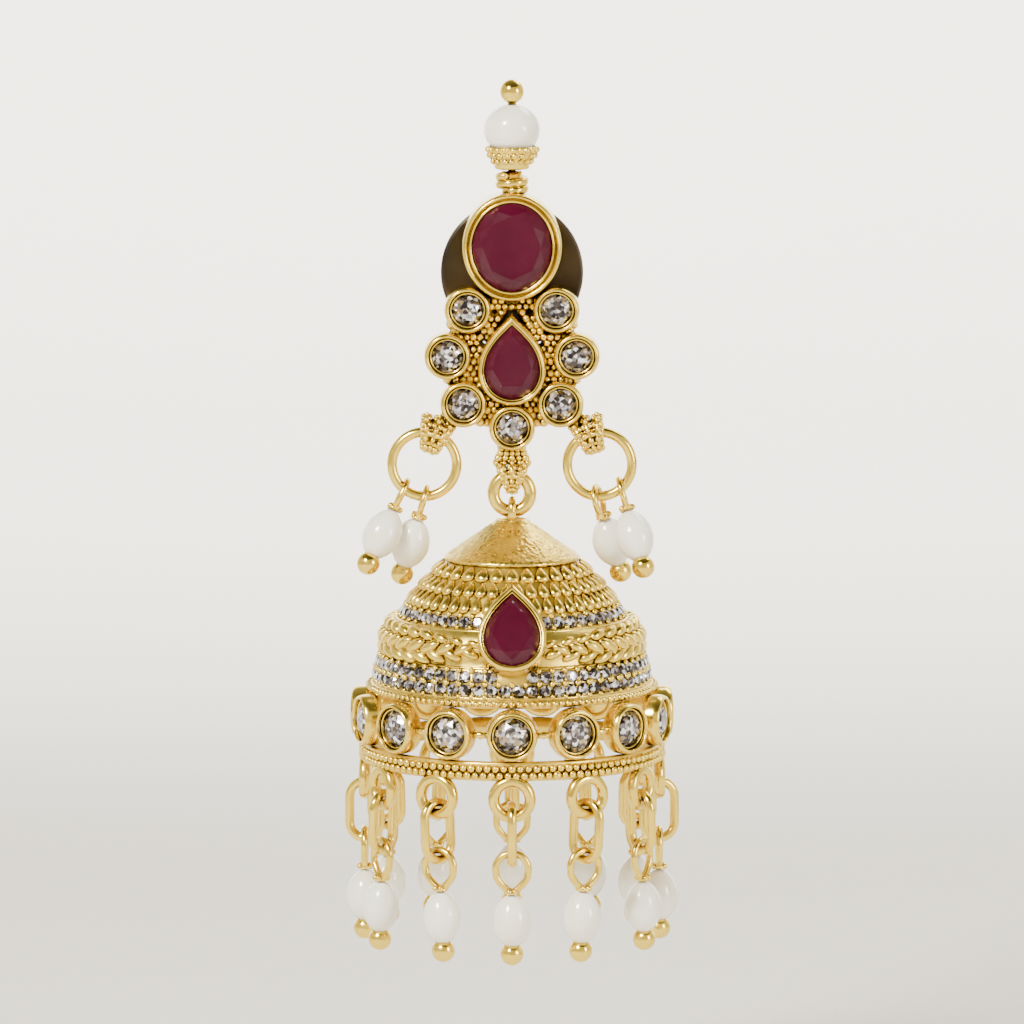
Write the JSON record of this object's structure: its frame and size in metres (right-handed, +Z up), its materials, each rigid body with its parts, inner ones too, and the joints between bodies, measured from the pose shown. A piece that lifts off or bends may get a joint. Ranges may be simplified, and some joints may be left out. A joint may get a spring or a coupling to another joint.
{
  "type": "jhumka earring",
  "caption": "Ruby and crystal stud with a hollow openwork bell, pearl drops and side rings, hanging from an ear post.",
  "frame": {"origin": "centre of the backing disc's rear face, where the ear post leaves it", "axes": "+Z up, +Y backwards along the ear post, the front faces -Y"},
  "size_m": [0.021, 0.0224, 0.0543],
  "materials": {
    "gold": "polished antique gold plate",
    "dark_disc": "dark oxidised, smooth",
    "ruby": "faceted, semi-opaque red stone",
    "crystal": "faceted clear stone",
    "pearl": "cream pearl on gilt pins"
  },
  "bodies": {
    "stud": {"lobe_disc": "dark_disc", "stud_frame": "gold", "push_back": "gold", "bead_cap": "gold", "top_pin": "gold", "side_ring_l": "gold", "side_ring_r": "gold", "stone_oval": "ruby", "stone_pear": "ruby", "stone_round_1": "crystal", "stone_round_2": "crystal", "stone_round_3": "crystal", "stone_round_4": "crystal", "stone_round_5": "crystal", "stone_round_6": "crystal", "stone_round_7": "crystal", "top_pearl": "pearl", "side_drop_1": "pearl", "side_drop_2": "pearl", "side_drop_3": "pearl", "side_drop_4": "pearl"},
    "bail": {"bail_ring": "gold"},
    "bell": {"bell_dome": "gold", "bell_pear": "ruby", "link_01": "gold", "link_02": "gold", "link_03": "gold", "link_04": "gold", "link_05": "gold", "link_06": "gold", "link_07": "gold", "link_08": "gold", "link_09": "gold", "link_10": "gold", "link_11": "gold", "link_12": "gold", "drop_01": "pearl", "drop_02": "pearl", "drop_03": "pearl", "drop_04": "pearl", "drop_05": "pearl", "drop_06": "pearl", "drop_07": "pearl", "drop_08": "pearl", "drop_09": "pearl", "drop_10": "pearl", "drop_11": "pearl", "drop_12": "pearl"}
  },
  "joints": [
    {"name": "bail_sway", "type": "hinge", "parent": "stud", "child": "bail", "pos_m": [0, -0.0015, -0.01268], "axis": [0, 1, 0], "range_deg": [-2.5, 2.5]},
    {"name": "bell_swing", "type": "hinge", "parent": "bail", "child": "bell", "pos_m": [0, -0.0015, -0.01498], "axis": [1, 0, 0], "range_deg": [-25, 25]}
  ]
}
